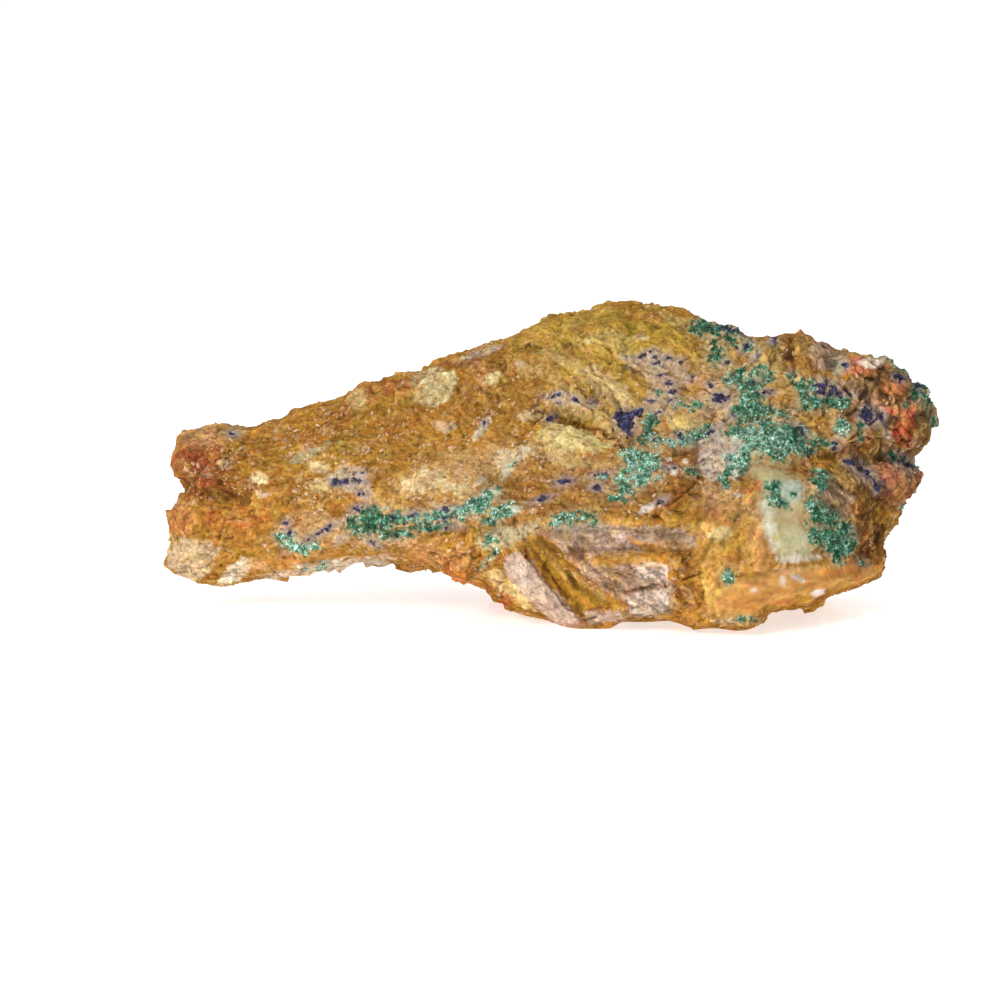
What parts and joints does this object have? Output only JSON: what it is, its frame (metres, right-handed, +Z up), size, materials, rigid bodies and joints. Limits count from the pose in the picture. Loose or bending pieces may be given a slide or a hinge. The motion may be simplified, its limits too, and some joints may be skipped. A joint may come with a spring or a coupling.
{
  "type": "malachite druse on limonite",
  "caption": "Broken block of ochre limonite rock with raised green malachite crusts and knots of blue azurite crystals on its leaning front face.",
  "frame": {"origin": "middle of the resting plane under the bounding box", "axes": "+X along the stone towards its thick end, +Y away from the leaning front face, +Z up"},
  "size_m": [0.1808, 0.064, 0.0704],
  "materials": {
    "limonite": "rough broken ochre rock with rust, buff and pinkish patches and fine pale grains",
    "malachite": "sparkling crust of tiny green needle tufts, dark in the gaps and pale at the tips",
    "azurite": "small glassy dark blue-violet crystals"
  },
  "bodies": {
    "root": {"limonite_matrix": "limonite", "malachite_crust_crest": "malachite", "malachite_crust_shoulder": "malachite", "malachite_crust_band": "malachite", "malachite_crust_brow": "malachite", "malachite_ribbon": "malachite", "malachite_fan": "malachite", "malachite_wisp": "malachite", "malachite_thread": "malachite", "malachite_vein_left": "malachite", "malachite_vein_fork": "malachite", "malachite_vein_tip": "malachite", "malachite_patch_under_arm": "malachite", "malachite_vein_ledge": "malachite", "malachite_ring": "malachite", "malachite_patch_upper_flank": "malachite", "malachite_crust_flank": "malachite", "malachite_drop": "malachite", "malachite_knob": "malachite", "azurite_vee": "azurite", "azurite_strip": "azurite", "azurite_knot": "azurite", "azurite_head_cluster": "azurite", "azurite_crack": "azurite", "azurite_notch": "azurite", "azurite_band_end": "azurite", "azurite_arm_pair": "azurite", "azurite_vein_cap": "azurite", "azurite_dash": "azurite", "azurite_bead": "azurite"}
  },
  "joints": []
}
